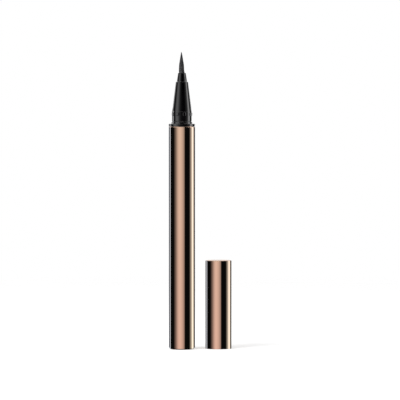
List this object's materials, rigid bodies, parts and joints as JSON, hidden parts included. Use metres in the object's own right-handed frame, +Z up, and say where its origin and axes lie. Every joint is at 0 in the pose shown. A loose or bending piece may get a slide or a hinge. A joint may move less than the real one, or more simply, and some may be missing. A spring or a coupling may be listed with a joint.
{
  "type": "liquid eyeliner pen",
  "caption": "Brush-tip liquid eyeliner pen with a metal barrel, black front section, ink tank and feed, and a separate metal cap with liner and sprung inner cap.",
  "frame": {"origin": "centre of the flat base that the pen stands on", "axes": "+Z up along the pen's axis, towards the brush tip; +X towards the cap that stands beside the pen"},
  "size_m": [0.024, 0.013, 0.1135],
  "materials": {
    "rose_gold_metal": "polished rose-gold anodised",
    "black_gloss_plastic": "gloss black moulded",
    "black_bristle": "fine black nylon strands",
    "natural_plastic": "natural satin moulded",
    "porous_fibre": "bonded fibre rod",
    "seal_rubber": "black elastomer",
    "steel": "bright stainless steel"
  },
  "bodies": {
    "pen": {"barrel_sleeve": "rose_gold_metal", "ink_tank": "black_gloss_plastic", "front_section": "black_gloss_plastic", "section_seal_ring": "seal_rubber", "ink_collector": "natural_plastic", "feed_rod": "porous_fibre", "tip_holder": "black_gloss_plastic", "brush_retainer": "natural_plastic", "brush_tip": "black_bristle"},
    "ball": {"mixing_ball": "steel"},
    "cap": {"cap_shell": "rose_gold_metal", "cap_liner": "natural_plastic", "inner_cap_spring": "steel"},
    "inner_cap": {"inner_cap": "natural_plastic"}
  },
  "joints": [
    {"name": "cap_lift", "type": "slide", "parent": "pen", "child": "cap", "axis": [0, 0, 1], "range_m": [0, 0.12]},
    {"name": "inner_cap_float", "type": "slide", "parent": "cap", "child": "inner_cap", "axis": [0, 0, 1], "range_m": [0, 0.0015], "stiffness_N_per_m": 100, "springref_m": -0.0015, "deforming": ["inner_cap_spring"]},
    {"name": "mixing_ball_travel", "type": "slide", "parent": "pen", "child": "ball", "axis": [0, 0, 1], "range_m": [0, 0.055]}
  ]
}
